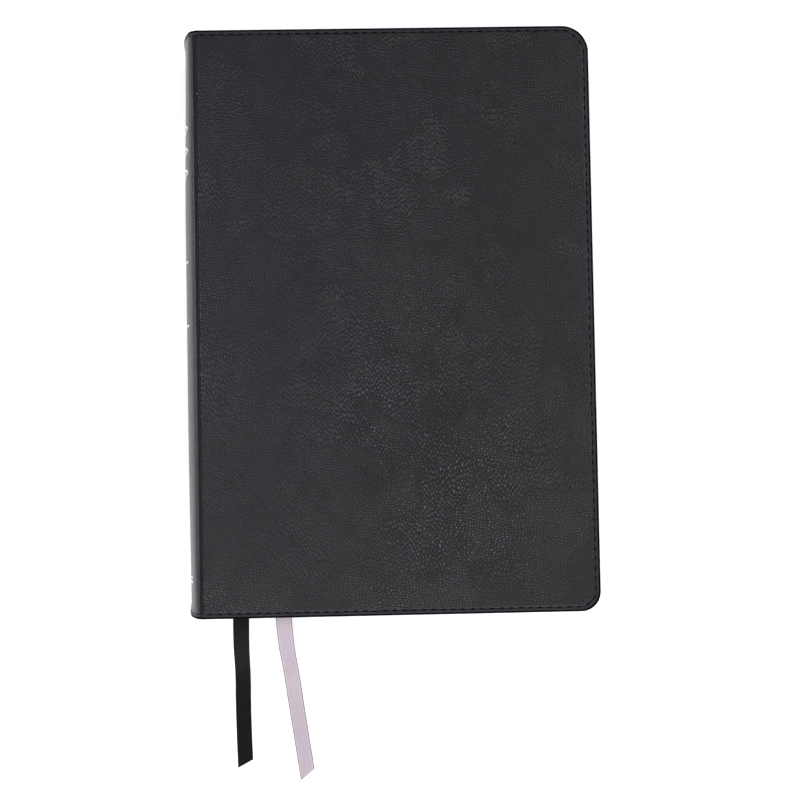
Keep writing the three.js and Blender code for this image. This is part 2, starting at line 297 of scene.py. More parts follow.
def page_edge_material():
    """Silver-gilt edges: each leaf's edge is a fine line, and the silver is a little worn."""
    n = Nodes("silver_edges")
    place = object_millimetres(n)
    stack = n.vector("MULTIPLY", place, (0.02, 0.02, 7.0))
    leaves = n.noise(stack, 1.0, 4, 0.7).outputs["Fac"]
    bundles = n.noise(n.vector("MULTIPLY", place, (0.01, 0.01, 1.3)), 1.0, 3, 0.6).outputs["Fac"]
    wear = n.noise(n.vector("MULTIPLY", place, (0.12, 0.12, 2.0)), 1.0, 3, 0.6).outputs["Fac"]
    lines = n.math("ADD", n.math("MULTIPLY", leaves, 0.7), n.math("MULTIPLY", bundles, 0.3))
    silver = n.mix(n.range(lines, 0.38, 0.62), (0.36, 0.36, 0.38, 1), (0.74, 0.74, 0.77, 1))
    colour = n.mix(n.range(wear, 0.60, 0.75, 0.0, 0.35), silver, (0.80, 0.78, 0.72, 1))
    metal = n.range(wear, 0.60, 0.75, 0.85, 0.35)
    return n.finish(Base_Color=colour, Metallic=metal, Roughness=0.38,
                    Normal=n.bump(lines, 0.10 * MM, 0.8))


def gauze_material():
    n = Nodes("cotton_gauze")
    place = object_millimetres(n)
    warp = n.add("ShaderNodeTexWave", {"bands_direction": "Y"}, Vector=place, Scale=0.55).outputs["Fac"]
    weft = n.add("ShaderNodeTexWave", {"bands_direction": "Z"}, Vector=place, Scale=0.55).outputs["Fac"]
    weave = n.math("MAXIMUM", warp, weft)
    return n.finish(Base_Color=n.mix(weave, (0.42, 0.39, 0.32, 1), (0.80, 0.77, 0.68, 1)), Roughness=0.95,
                    Normal=n.bump(weave, 0.15 * MM, 0.8))


def satin_material(name, body, shade, selvedge, gloss, specular):
    """Satin ribbon: fine weft lines across it, a softer sheen along it, a tighter selvedge and a darker rim.
    The flat map's u runs across the ribbon in metres from its middle, v along it."""
    weft_pitch, loop_pitch = 0.32, 0.9
    n = Nodes(name)
    flat = millimetres(n)
    across, along, _ = n.add("ShaderNodeSeparateXYZ", Vector=flat).outputs
    weft = n.math("SINE", n.math("MULTIPLY", along, 2 * math.pi / weft_pitch))
    drift = n.noise(n.vector("MULTIPLY", flat, (3.0, 0.12, 1)), 1.0, 3, 0.6).outputs["Fac"]
    from_middle = n.math("ABSOLUTE", across)
    edge = n.range(from_middle, 2.35, 2.5)
    rim = n.range(from_middle, 2.78, 2.95)
    loops = n.math("SINE", n.math("MULTIPLY", along, 2 * math.pi / loop_pitch))
    satin = n.mix(n.range(drift, 0.3, 0.7), shade, body)
    dark_rim = (*[0.5 * c for c in shade[:3]], 1)
    colour = n.mix(rim, n.mix(edge, satin, selvedge), dark_rim)
    edge_loops = n.math("MULTIPLY", loops, edge)
    rib = n.math("ADD", n.math("MULTIPLY", weft, 0.3), n.math("MULTIPLY", edge_loops, 0.7))
    height = n.math("ADD", rib, n.math("MULTIPLY", edge, 0.8))
    n.shader.inputs["Specular IOR Level"].default_value = specular
    return n.finish(Base_Color=colour, Roughness=n.math("ADD", n.math("MULTIPLY", edge, 0.2), gloss),
                    Normal=n.bump(height, 0.05 * MM, 0.7))


def band_material():
    """Headband silk: silver and black threads wound side by side."""
    colour_pitch, strand_pitch = 2.0, 0.25
    n = Nodes("band_silk")
    flat = millimetres(n)
    _, along, _ = n.add("ShaderNodeSeparateXYZ", Vector=flat).outputs
    wave = n.math("SINE", n.math("MULTIPLY", along, 2 * math.pi / colour_pitch))
    strands = n.math("SINE", n.math("MULTIPLY", along, 2 * math.pi / strand_pitch))
    colour = n.mix(n.range(wave, -0.25, 0.25), (0.012, 0.012, 0.014, 1), (0.62, 0.62, 0.66, 1))
    return n.finish(Base_Color=colour, Roughness=0.45, Normal=n.bump(strands, 0.06 * MM, 0.8))


def foil_material():
    n = Nodes("silver_foil")
    flat = millimetres(n)
    grain = n.noise(flat, 2.2, 4, 0.6).outputs["Fac"]
    return n.finish(Base_Color=n.mix(grain, (0.55, 0.55, 0.58, 1), (0.83, 0.83, 0.86, 1)), Metallic=1.0,
                    Roughness=n.range(grain, 0.3, 0.7, 0.22, 0.42), Normal=n.bump(grain, 0.05 * MM, 0.4))


def floor_material():
    n = Nodes("white_table")
    place = object_millimetres(n)
    cloud = n.noise(place, 0.01, 2).outputs["Fac"]
    n.shader.inputs["Emission Color"].default_value = (1, 1, 1, 1)
    n.shader.inputs["Emission Strength"].default_value = 0.36
    return n.finish(Base_Color=n.mix(cloud, (0.90, 0.90, 0.90, 1), (0.93, 0.93, 0.93, 1)), Roughness=0.7)


COVER_LEATHER = leather_material("cover_leather")
SPINE_LEATHER = leather_material("spine_leather", 0.35)
PRESSED_LIP = lip_material()
CREASE_PAINTED_SHADE = crease_shade_material()
EDGE_INK = edge_material()
THREAD = thread_material()
CARD = paper_material("grey_card", (0.34, 0.33, 0.31, 1), (0.24, 0.23, 0.21, 1), 0.9)
ENDPAPER = paper_material("black_endpaper", (0.017, 0.017, 0.019, 1), (0.010, 0.010, 0.012, 1), 0.75)
KRAFT = paper_material("kraft_paper", (0.44, 0.29, 0.15, 1), (0.33, 0.21, 0.10, 1), 0.9)
PAPER = page_face_material()
SILVER_EDGES = page_edge_material()
GAUZE = gauze_material()
BLACK_SATIN = satin_material("black_satin", (0.0078, 0.0077, 0.0080, 1), (0.0042, 0.0042, 0.0046, 1),
                             (0.0080, 0.0080, 0.0082, 1), 0.6, 0.07)
MAUVE_SATIN = satin_material("mauve_satin", (0.490, 0.418, 0.470, 1), (0.430, 0.360, 0.412, 1),
                             (0.560, 0.487, 0.542, 1), 0.42, 0.4)
BAND_SILK = band_material()
FOIL = foil_material()


# ---------------------------------------------------------------- mesh helpers
def face_outwards(mesh):
    """Turns every face of a closed mesh outwards, so that the order of its points doesn't matter."""
    shape = bmesh.new()
    shape.from_mesh(mesh)
    bmesh.ops.recalc_face_normals(shape, faces=shape.faces)
    shape.to_mesh(mesh)
    shape.free()


def mesh_object(name, points, faces, materials, uvs=None, face_materials=None, smooth=True, sharp=None):
    mesh = bpy.data.meshes.new(name)
    mesh.from_pydata([tuple(p) for p in points], [], faces)
    face_outwards(mesh)
    for material in materials:
        mesh.materials.append(material)
    if face_materials:
        mesh.polygons.foreach_set("material_index", face_materials)
    if uvs:
        layer = mesh.uv_layers.new(name="flat")
        for loop in mesh.loops:
            layer.data[loop.index].uv = uvs[loop.vertex_index]
    mesh.polygons.foreach_set("use_smooth", [smooth] * len(mesh.polygons))
    mesh.update()
    if sharp:
        mesh.set_sharp_from_angle(angle=math.radians(sharp))
    piece = bpy.data.objects.new(name, mesh)
    bpy.context.scene.collection.objects.link(piece)
    return piece


def grid_faces(rows, columns, start=0, wrap=False):
    """Quads over rows of points, each row holding columns points."""
    faces = []
    for r in range(rows - 1):
        for c in range(columns if wrap else columns - 1):
            d = (c + 1) % columns
            a = start + r * columns
            faces.append((a + c, a + columns + c, a + columns + d, a + d))
    return faces


def sheet_faces(rows, columns):
    """Faces of a thin closed sheet: one grid of points, then another of the same size on its far side."""
    size = rows * columns
    near = grid_faces(rows, columns)
    far = grid_faces(rows, columns, size)
    rim = list(range(columns)) + [r * columns + columns - 1 for r in range(1, rows)]
    rim += [size - 1 - c for c in range(1, columns)] + [r * columns for r in range(rows - 2, 0, -1)]
    return near + far + [(b, a, size + a, size + b) for a, b in zip(rim, rim[1:] + rim[:1])]


def tube_faces(rings, around, start=0):
    """Faces of a closed tube: rings of points and a cap at each end."""
    last = start + (rings - 1) * around
    caps = [tuple(range(start, start + around)), tuple(range(last, last + around))]
    return grid_faces(rings, around, start, wrap=True) + caps


def place(piece, body, slot_name, *nodes):
    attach(piece, body)
    if nodes:
        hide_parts(*nodes)


def catmull_rom(points, per_span):
    """A smooth line through the points, with per_span steps between two of them."""
    ends = [2 * points[0] - points[1], *points, 2 * points[-1] - points[-2]]
    line = []
    for a, b, c, d in zip(ends, ends[1:], ends[2:], ends[3:]):
        for k in range(per_span):
            t = k / per_span
            line.append(0.5 * (2 * b + (c - a) * t + (2 * a - 5 * b + 4 * c - d) * t * t
                               + (3 * b - a - 3 * c + d) * t ** 3))
    return line + [points[-1]]


# ---------------------------------------------------------------- camera, light and floor
def add_camera():
    data = bpy.data.cameras.new("camera")
    data.lens = 49.5
    data.sensor_width = 36
    camera = bpy.data.objects.new("camera", data)
    camera.location = (JOINT_X + 72.5 * MM, -44.75 * MM, 473.0 * MM)
    camera.rotation_euler = [math.radians(a) for a in (1.66, -0.96, -1.07)]
    bpy.context.scene.collection.objects.link(camera)
    bpy.context.scene.camera = camera


def add_light(name, at, aim, size, power, colour=(1, 1, 1)):
    data = bpy.data.lights.new(name, "AREA")
    data.shape = "RECTANGLE"
    data.size, data.size_y = size
    data.energy = power
    data.color = colour
    light = bpy.data.objects.new(name, data)
    light.location = at
    light.rotation_euler = (Vector(aim) - Vector(at)).to_track_quat("-Z", "Y").to_euler()
    bpy.context.scene.collection.objects.link(light)


def remapped(tree, value, low, high, to_low, to_high):
    """The value, moved from one range to another and kept within it."""
    node = tree.nodes.new("ShaderNodeMapRange")
    for key, limit in (("From Min", low), ("From Max", high), ("To Min", to_low), ("To Max", to_high)):
        node.inputs[key].default_value = limit
    tree.links.new(value, node.inputs["Value"])
    return node.outputs[0]


def add_world():
    """A studio: a pale wall low down all round, and darkest high up beyond the book's head."""
    world = bpy.data.worlds.new("studio")
    bpy.context.scene.world = world
    world.use_nodes = True
    tree = world.node_tree
    direction = tree.nodes.new("ShaderNodeTexCoord").outputs["Generated"]
    towards = tree.nodes.new("ShaderNodeVectorMath")
    towards.operation = "DOT_PRODUCT"
    towards.inputs[1].default_value = Vector((0, 0.55, 0.83)).normalized()
    tree.links.new(direction, towards.inputs[0])
    sky = remapped(tree, towards.outputs["Value"], 0.2, 0.96, 1.45, 0.20)
    height = tree.nodes.new("ShaderNodeSeparateXYZ")
    tree.links.new(direction, height.inputs[0])
    wall = remapped(tree, height.outputs[2], 0.10, 0.24, 10.0, 0.0)
    both = tree.nodes.new("ShaderNodeMath")
    tree.links.new(sky, both.inputs[0])
    tree.links.new(wall, both.inputs[1])
    tree.links.new(both.outputs[0], tree.nodes["Background"].inputs["Strength"])


def add_floor():
    half = 3.0
    corners = [(-half, -half, 0), (half, -half, 0), (half, half, 0), (-half, half, 0)]
    floor = mesh_object("floor", corners, [(0, 1, 2, 3)], [floor_material()])


bpy.context.scene.view_settings.view_transform = "Standard"
add_camera()
add_world()
add_light("left_window", (-0.8, 0.1, 0.7), (0, 0, 0), (0.7, 0.9), 8.0, (0.93, 0.94, 1.0))
add_light("right_fill", (0.8, 0.25, 0.7), (0, 0, 0), (0.7, 0.7), 6.0)
add_light("tail_glow", (0.05, -0.84, 0.73), (0, -0.05, 0), (0.8, 0.5), 8.5)
add_floor()


# ---------------------------------------------------------------- ribbon markers
RIBBON_WIDTH = 6.5 * MM
RIBBON_SHIFT = -0.3  # how much nearer the spine the ribbons lie than their CAD solids, in millimetres
SOLID_HALF_THICK = 0.2 * MM
BLACK_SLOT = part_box("ribbon_black")[1].z - SOLID_HALF_THICK
MAUVE_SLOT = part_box("ribbon_mauve")[1].z - SOLID_HALF_THICK


def route(points, slot):
    """Points as distance from the joint, place along the page and height, in millimetres.
    A height of zero or less is counted down from the slot between the gatherings."""
    return [Vector((JOINT_X + (x + RIBBON_SHIFT) * MM, y * MM, (slot if z <= 0 else 0) + z * MM))
            for x, y, z in points]


BLACK_ROUTE = route([
    (5.2, 113, 0), (6.6, 80, 0), (8.2, 45, 0), (9.8, 10, 0),
    (11.4, -25, 0), (13, -60, 0), (14.4, -90, 0), (15.1, -108, 0),
    (15.2, -115, 0), (15, -121, -0.9), (14.6, -127, -4),
    (14, -133, -9.2), (13.4, -138.5, -15.4), (12.8, -144, -21.6),
    (12.3, -150, -26.1), (12, -156.5, 0.7), (12, -163, 0.3),
    (12.1, -170, 0.22), (12.3, -177.5, 0.2), (12.5, -184.6, 0.2),
], BLACK_SLOT)
MAUVE_ROUTE = route([
    (6.4, 113, 0), (10.2, 80, 0), (14.1, 45, 0), (18, 10, 0),
    (21.9, -25, 0), (25.8, -60, 0), (29.1, -90, 0), (31.1, -108, 0),
    (31.7, -115, 0), (32, -121, -0.9), (32.2, -127, -4),
    (32.3, -133, -9.2), (32.5, -138.5, -15), (32.8, -144, -20.2),
    (33.3, -150, -24), (34, -156.5, 0.8), (34.9, -163, 0.3),
    (35.9, -170, 0.22), (37.2, -179, 0.2), (38.8, -189.8, 0.2),
], MAUVE_SLOT)

# The ribbon's section, across it and then up: thin, with a bead along each selvedge.
RIBBON_SECTION = [
    (-1, 0), (-0.985, 0.10), (-0.94, 0.13), (-0.88, 0.09), (-0.5, 0.10), (0, 0.11), (0.5, 0.10),
    (0.88, 0.09), (0.94, 0.13), (0.985, 0.10), (1, 0),
    (0.985, -0.10), (0.9, -0.07), (0, -0.06), (-0.9, -0.07), (-0.985, -0.10),
]


def add_ribbon(name, points, cut, material, slot_name, node):
    """A flat ribbon along the route, its end cut on a slant of cut degrees."""
    steps_to_slant = 5
    line = catmull_rom(points, 8)
    half = RIBBON_WIDTH / 2
    vertices, uvs, run = [], [], 0.0
    for k, p in enumerate(line):
        ahead = line[min(k + 1, len(line) - 1)]
        behind = line[max(k - 1, 0)]
        forward = (ahead - behind).normalized()
        across = forward.cross(Vector((0, 0, 1))).normalized()
        up = across.cross(forward).normalized()
        run += (p - behind).length if k else 0.0
        left = max(0.0, 1 - (len(line) - 1 - k) / steps_to_slant)
        for a, b in RIBBON_SECTION:
            slant = left * a * half * math.tan(math.radians(cut))
            vertices.append(p + across * a * half + up * b * MM + forward * slant)
            uvs.append((a * half, run + slant))
    piece = mesh_object(name, vertices, tube_faces(len(line), len(RIBBON_SECTION)), [material], uvs)
    place(piece, "text_block", slot_name, node)


add_ribbon("black_marker", BLACK_ROUTE, 26, BLACK_SATIN, "black_satin", "ribbon_black")
add_ribbon("mauve_marker", MAUVE_ROUTE, 30, MAUVE_SATIN, "mauve_satin", "ribbon_mauve")


# ---------------------------------------------------------------- leather
# From the flat face over the seam's valley, round the folded edge and onto the turned-in leather inside:
# distance in from the edge, and height from the outer face, in millimetres, for a 2.8 mm cover.
EDGE_PROFILE = [
    (5.2, 0.0), (3.7, 0.0), (2.95, -0.01), (2.5, -0.04), (2.3, -0.12), (2.18, -0.18), (2.05, -0.20),
    (1.92, -0.18), (1.8, -0.11), (1.6, -0.03), (1.3, -0.01), (0.92, -0.07), (0.7, -0.16), (0.38, -0.32),
    (0.12, -0.55), (0.02, -0.85), (0.0, -1.15), (0.0, -1.8), (0.05, -2.2), (0.2, -2.52), (0.45, -2.72),
    (0.9, -2.8), (1.7, -2.76), (2.05, -2.68), (2.4, -2.76), (3.0, -2.8), (5.0, -2.8), (5.15, -2.6),
    (5.2, -0.9),
]
# Spans of the seam's valley, painted dark with the crease's painted shade.
SEAM_SPANS = range(5, 7)
LIP_SPANS = range(8, 11)
INK_SPANS = range(11, 20)
FULL_THICK = 2.8


def span_finish(span):
    """Which of a leather piece's materials a span of the profile takes."""
    if span in SEAM_SPANS:
        return 3
    if span in INK_SPANS:
        return 2
    return 1 if span in LIP_SPANS else 0


def cover_path():
    """Points along the head, fore-edge and tail with their outward directions, seen from above, and how much
    further in the seam lies there: the corners are sewn nearly straight across."""
    side_steps, corner_steps, fore_steps = 12, 16, 8
    start = JOINT_X + CREASE_START
    path = []
    for end, corner in ((1, HEAD_CORNER), (-1, TAIL_CORNER)):
        half = []
        corner_x = FORE_X - corner
        corner_y = HEAD_Y - corner
        for k in range(side_steps):
            x = start + (corner_x - start) * k / side_steps
            half.append((Vector((x, end * HEAD_Y)), Vector((0, end)), 1.0))
        for k in range(corner_steps + 1):
            angle = math.pi / 2 * (1 - k / corner_steps)
            out = Vector((math.cos(angle), end * math.sin(angle)))
            spread = 1 + SEAM_SPREAD * math.sin(2 * angle) ** 2
            half.append((Vector((corner_x, end * corner_y)) + out * corner, out, spread))
        for k in range(1, fore_steps + 1 if end > 0 else fore_steps):
            half.append((Vector((FORE_X, end * corner_y * (1 - k / fore_steps))), Vector((1, 0)), 1.0))
        path += half if end > 0 else half[::-1]
    return path


def add_cover_leather(name, side, spine_run):
    """One cover's leather, folded over its board. side is 1 for the front cover and -1 for the back."""
    path = cover_path()
    columns = len(EDGE_PROFILE)
    vertices, uvs = [], []
    for p, out, spread in path:
        for inset, rise in EDGE_PROFILE:
            at = p - out * inset * spread * MM
            vertices.append(Vector((at.x, at.y, rise * MM)))
            uv = at + out * -rise * MM
            uvs.append((uv.x - JOINT_X, uv.y))
    faces = grid_faces(len(path), columns)
    finish = [span_finish(f % (columns - 1)) for f in range(len(faces))]
    outer_ring = [k * columns for k in range(len(path))]
    inner_ring = [k * columns + columns - 1 for k in range(len(path))]
    last = (len(path) - 1) * columns
    faces += [tuple(outer_ring), tuple(inner_ring), (0, last, inner_ring[-1], inner_ring[0])]
    faces += [tuple(range(columns)), tuple(range(last, last + columns))]
    finish += [0] * 5
    for v in vertices:
        v.z = TOP_Z + v.z if side > 0 else -v.z
    if side < 0:
        uvs = [(-spine_run - u, v) for u, v in uvs]
    materials = [COVER_LEATHER, PRESSED_LIP, EDGE_INK, CREASE_PAINTED_SHADE]
    return mesh_object(name, vertices, faces, materials, uvs, finish, sharp=50)


# The crease beside the spine, from the cover down its wall to the valley: distance from the joint and depth
# under the cover's face, in millimetres.
CREASE = [(1.6, 0), (1.2, -0.01), (0.85, -0.05), (0.64, -0.13), (0.50, -0.28), (0.42, -0.50), (0.30, -0.70),
          (0.08, -0.84), (-0.18, -0.90)]
# Spans of the crease that take the crease's painted shade.
CREASE_SPANS = range(1, 9)
# The shoulder rises from the valley over a soft corner and meets the round of the spine at its edge.
SHOULDER_CORNER = Vector((JOINT_X - 1.41 * MM, TOP_Z - 0.90 * MM))
SHOULDER_STEPS = 10
ROUND_STEPS = 36
SPINE_EDGE = Vector((JOINT_X - 2.8 * MM, TOP_Z - 3.3 * MM))
CROWN_X = SPINE_X + 0.3 * MM
HEAD_DRAW = 0.95 * MM
TAIL_DRAW = 0.45 * MM
END_FLARE = 0.55 * MM
# Where each starts, and over what length, as shares of the way from the middle of the spine to its end.
DRAW_FROM, DRAW_OVER = 0.36, 0.58
FLARE_FROM, FLARE_OVER = 0.955, 0.03


def eased(t):
    """From 0 to 1 as t does, with soft ends."""
    t = min(1.0, max(0.0, t))
    return t * t * (3 - 2 * t)


def drawn_in(y):
    """How far the round of the spine draws in at a place along it: nothing in the middle, most near the ends,
    which stand out again where the leather is doubled."""
    share = abs(y) / HEAD_Y
    draw = (HEAD_DRAW if y > 0 else TAIL_DRAW) * eased((share - DRAW_FROM) / DRAW_OVER)
    flare = END_FLARE * eased((share - FLARE_FROM) / FLARE_OVER)
    return draw - flare


def spine_circle(y):
    """The crown and the radius of the spine's round at a place along it."""
    crown = CROWN_X + drawn_in(y)
    sagitta = SPINE_EDGE.x - crown
    half_chord = SPINE_EDGE.y - MID_Z
    return crown, (half_chord ** 2 + sagitta ** 2) / (2 * sagitta)


def spine_point(y, angle, lift=0.0):
    """A place on the spine's round, at an angle up from its middle about the round's centre."""
    crown, radius = spine_circle(y)
    reach = radius + lift
    return Vector((crown + radius - reach * math.cos(angle), y, MID_Z + reach * math.sin(angle)))


def spine_section(y=0.0):
    """The outer line of the upper half of the spine, from the cover across the crease to the crown."""
    _, radius = spine_circle(y)
    opening = math.asin((SPINE_EDGE.y - MID_Z) / radius)
    line = [Vector((JOINT_X + x * MM, TOP_Z + z * MM)) for x, z in CREASE]
    valley = line[-1]
    for k in range(1, SHOULDER_STEPS):
        t = k / SHOULDER_STEPS
        line.append(valley * (1 - t) ** 2 + SHOULDER_CORNER * 2 * t * (1 - t) + SPINE_EDGE * t * t)
    for k in range(ROUND_STEPS + 1):
        p = spine_point(y, opening * (1 - k / ROUND_STEPS))
        line.append(Vector((p.x, p.z)))
    return line


def line_normals(line):
    """Outward directions of a line in X and Z that runs from the cover to the crown."""
    normals = []
    for k in range(len(line)):
        along = line[min(k + 1, len(line) - 1)] - line[max(k - 1, 0)]
        normals.append(Vector((along.y, -along.x)).normalized())
    normals[0] = Vector((0, 1))
    normals[-1] = Vector((-1, 0))
    return normals


def run_lengths(line):
    runs = [0.0]
    for a, b in zip(line, line[1:]):
        runs.append(runs[-1] + (b - a).length)
    return runs


def add_spine_leather(name, side):
    """Half of the spine's leather, from a cover's crease to the crown, folded in at head and tail."""
    runs = run_lengths(spine_section())
    flat_rows = 40
    thinning = 2.2 * MM
    ends = [(HEAD_Y - inset * MM, rise / FULL_THICK) for inset, rise in reversed(EDGE_PROFILE)]
    reach = HEAD_Y - EDGE_PROFILE[0][0] * MM
    middle = [(reach * (1 - 2 * k / flat_rows), 0.0) for k in range(1, flat_rows)]
    tail = [(-y, rise) for y, rise in reversed(ends)]
    inside = [(-y, ends[0][1]) for y, _ in middle]
    across = ends + middle + tail + inside
    sections = {y: spine_section(y) for y, _ in across}
    directions = {y: line_normals(line) for y, line in sections.items()}
    vertices, uvs = [], []
    for k, run in enumerate(runs):
        thin = min(1.0, run / thinning)
        thick = COVER_THICK + (SPINE_THICK - COVER_THICK) * thin
        for y, rise in across:
            at = sections[y][k] + directions[y][k] * rise * thick
            vertices.append(Vector((at.x, y, at.y if side > 0 else TOP_Z - at.y)))
            v = y + math.copysign(-rise * thick, y)
            u = CREASE_START - run
            uvs.append((u, v) if side > 0 else (-2 * spine_run() - u, v))
    columns = len(across)
    faces = grid_faces(len(runs), columns, wrap=True)
    last = len(EDGE_PROFILE) - 1
    turned = len(ends + middle)
    finish = []
    for f in range(len(faces)):
        row, c = divmod(f, columns)
        if c < last:
            kind = span_finish(last - 1 - c)
        elif turned <= c < turned + last:
            kind = span_finish(c - turned)
        else:
            kind = 0
        # Crease spans get the painted crease shade.
        finish.append(3 if kind == 0 and row in CREASE_SPANS else kind)
    faces += [tuple(range(columns)), tuple(range(len(vertices) - columns, len(vertices)))]
    finish += [0, 0]
    materials = [SPINE_LEATHER, PRESSED_LIP, EDGE_INK, CREASE_PAINTED_SHADE]
    piece = mesh_object(name, vertices, faces, materials, uvs, finish, sharp=50)
    level_crown(piece.data, len(vertices) - columns)
    return piece


def level_crown(mesh, first):
    """Turns the shading at the crown, from vertex first on, straight out, so that the halves look as one."""
    flat_enough = 0.3
    normals = [Vector(n.vector) for n in mesh.corner_normals]
    for loop, normal in zip(mesh.loops, normals):
        if loop.vertex_index >= first and abs(normal.z) < flat_enough:
            normal.z = 0
            normal.normalize()
    mesh.normals_split_custom_set(normals)


def spine_run():
    """Arc length of half the spine, from the joint to the crown."""
    return run_lengths(spine_section())[-1] - CREASE_START


front_leather = add_cover_leather("front_cover_skin", 1, 2 * spine_run())
place(front_leather, "front_cover", "cover_leather", "front_cover_leather")
back_leather = add_cover_leather("back_cover_skin", -1, 2 * spine_run())
place(back_leather, "back_cover", "cover_leather", "back_cover_leather")

BEND_FROM = Vector((JOINT_X - 3.6 * MM, 0, TOP_Z - 4.4 * MM))
BEND_TO = Vector((JOINT_X + 0.3 * MM, 0, TOP_Z - 1.0 * MM))


def turned_over(p):
    return Vector((p.x, p.y, TOP_Z - p.z))


def blend_to_cover(piece, side):
    """Bakes the piece's placement into its mesh. The ends of a bend over the joint towards its cover are
    worked out but not used, so nothing bends.
    """
    turn = turned_over if side < 0 else Vector
    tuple(turn(BEND_FROM))
    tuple(turn(BEND_TO))
    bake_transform(piece)


for side, cover in ((1, "front"), (-1, "back")):
    half_spine = add_spine_leather(f"spine_skin_{cover}", side)
    blend_to_cover(half_spine, side)
    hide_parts("spine_leather")


# ---------------------------------------------------------------- stitching
STITCH_PITCH = 3.85 * MM
STITCH_LENGTH = 2.75 * MM
STITCH_RADIUS = 0.40 * MM
STITCH_FLATNESS = 0.7
STITCH_SINK = 0.22 * MM  # how far its middle lies under the leather's face
STITCH_DIP = 0.5 * MM  # how far its ends go down into their holes


def stitch(centre, along, up, length, vertices, faces):
    """One stitch: a short thread that rises out of its hole, lies along the seam and dips into the next."""
    side = along.cross(up).normalized()
    steps, around = 8, 8
    start = len(vertices)
    for k in range(steps + 1):
        t = k / steps
        lift = math.sin(math.pi * t) ** 0.5
        swell = 0.55 + 0.45 * math.sin(math.pi * t) ** 0.4
        p = centre + along * (t - 0.5) * length + up * (lift - 1) * STITCH_DIP
        for m in range(around):
            a = 2 * math.pi * m / around
            r = STITCH_RADIUS * swell
            vertices.append(p + side * math.cos(a) * r + up * math.sin(a) * r * STITCH_FLATNESS)
    faces.extend(tube_faces(steps + 1, around, start))


def seam_points(path):
    """Points about a stitch pitch apart along a line, with the directions along it."""
    whole = run_lengths(path)[-1]
    pitch = whole / round(whole / STITCH_PITCH)
    spots, left = [], pitch / 2
    for a, b in zip(path, path[1:]):
        length = (b - a).length
        while left <= length:
            spots.append((a + (b - a) * (left / length), (b - a).normalized()))
            left += pitch
        left -= length
    return spots


def add_cover_stitching(name, side, body, node):
    vertices, faces = [], []
    seam = [p - out * SEAM_INSET * spread for p, out, spread in cover_path()]
    outer = TOP_Z if side > 0 else 0.0
    inner = TOP_Z - COVER_THICK if side > 0 else COVER_THICK
    for spot, along in seam_points(seam):
        for z, up in ((outer, side), (inner, -side)):
            jitter = Vector((rng.uniform(-0.06, 0.06), rng.uniform(-0.06, 0.06), 0)) * MM
            centre = Vector((spot.x, spot.y, z - STITCH_SINK * up)) + jitter
            length = STITCH_LENGTH * rng.uniform(0.93, 1.07)
            stitch(centre, Vector((along.x, along.y, 0)), Vector((0, 0, up)), length, vertices, faces)
    piece = mesh_object(name, vertices, faces, [THREAD])
    place(piece, body, "thread", node)


def add_spine_stitching(name, end, side, node):
    """Stitches over half of the spine at one end, from a crease to the crown."""
    y = end * (HEAD_Y - SEAM_INSET)
    section = spine_section(y)[len(CREASE):]
    vertices, faces = [], []
    for spot, along in seam_points(section):
        up = Vector((along.y, -along.x))
        at = spot - up * STITCH_SINK
        stitch(Vector((at.x, y, at.y)), Vector((along.x, 0, along.y)), Vector((up.x, 0, up.y)),
               STITCH_LENGTH, vertices, faces)
    if side < 0:
        vertices = [turned_over(v) for v in vertices]
    piece = mesh_object(name, vertices, faces, [THREAD])
    blend_to_cover(piece, side)
    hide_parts(node)


add_cover_stitching("front_seam_stitches", 1, "front_cover", "front_cover_stitching")
add_cover_stitching("back_seam_stitches", -1, "back_cover", "back_cover_stitching")
for side, cover in ((1, "front"), (-1, "back")):
    add_spine_stitching(f"spine_head_stitches_{cover}", 1, side, "spine_stitching_head")
    add_spine_stitching(f"spine_tail_stitches_{cover}", -1, side, "spine_stitching_tail")


# ---------------------------------------------------------------- endpapers and leaves
def use_material(node, material):
    """Gives a CAD node that stays its finish."""
    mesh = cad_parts[node].data
    mesh.materials.clear()
    mesh.materials.append(material)


for side_name in ("front", "back"):
    use_material(side_name + "_cover_board", CARD)
    use_material(side_name + "_pastedown", ENDPAPER)


# The back of the text block: its crown, half its height over the fold, and how far it rounds.
BLOCK_BACK_X = min(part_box(node)[0].x for node in GATHERINGS)
BLOCK_HALF = page_high.z - MID_Z - 0.7 * MM
BLOCK_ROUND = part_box(GATHERINGS[-1])[0].x - BLOCK_BACK_X


def add_lining(name, node, near, far, reach_z, slot_name, material):
    """A layer glued round the gatherings' backs; near and far are shares of the way out to the leather."""
    low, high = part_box(node)
    fold_radius = (BLOCK_HALF ** 2 + BLOCK_ROUND ** 2) / (2 * BLOCK_ROUND)
    rows, columns = 26, 24
    vertices = []
    for share in (far, near):
        for k in range(rows + 1):
            height = reach_z * (2 * k / rows - 1)
            fold = BLOCK_BACK_X + fold_radius - math.sqrt(fold_radius ** 2 - height ** 2)
            for m in range(columns + 1):
                y = low.y + (high.y - low.y) * m / columns
                crown, radius = spine_circle(y)
                leather = crown + radius - math.sqrt(radius ** 2 - height ** 2) + SPINE_THICK
                vertices.append(Vector((fold + (leather - fold) * share, y, MID_Z + height)))
    piece = mesh_object(name, vertices, sheet_faces(rows + 1, columns + 1), [material], sharp=50)
    place(piece, "text_block", slot_name, node)


add_lining("back_gauze", "mull", 0.04, 0.26, 13.0 * MM, "gauze", GAUZE)
add_lining("back_kraft", "kraft_lining", 0.36, 0.58, 12.8 * MM, "kraft_paper", KRAFT)
add_lining("spine_card", "spine_stiffener", 0.68, 0.94, 12.4 * MM, "card", CARD)


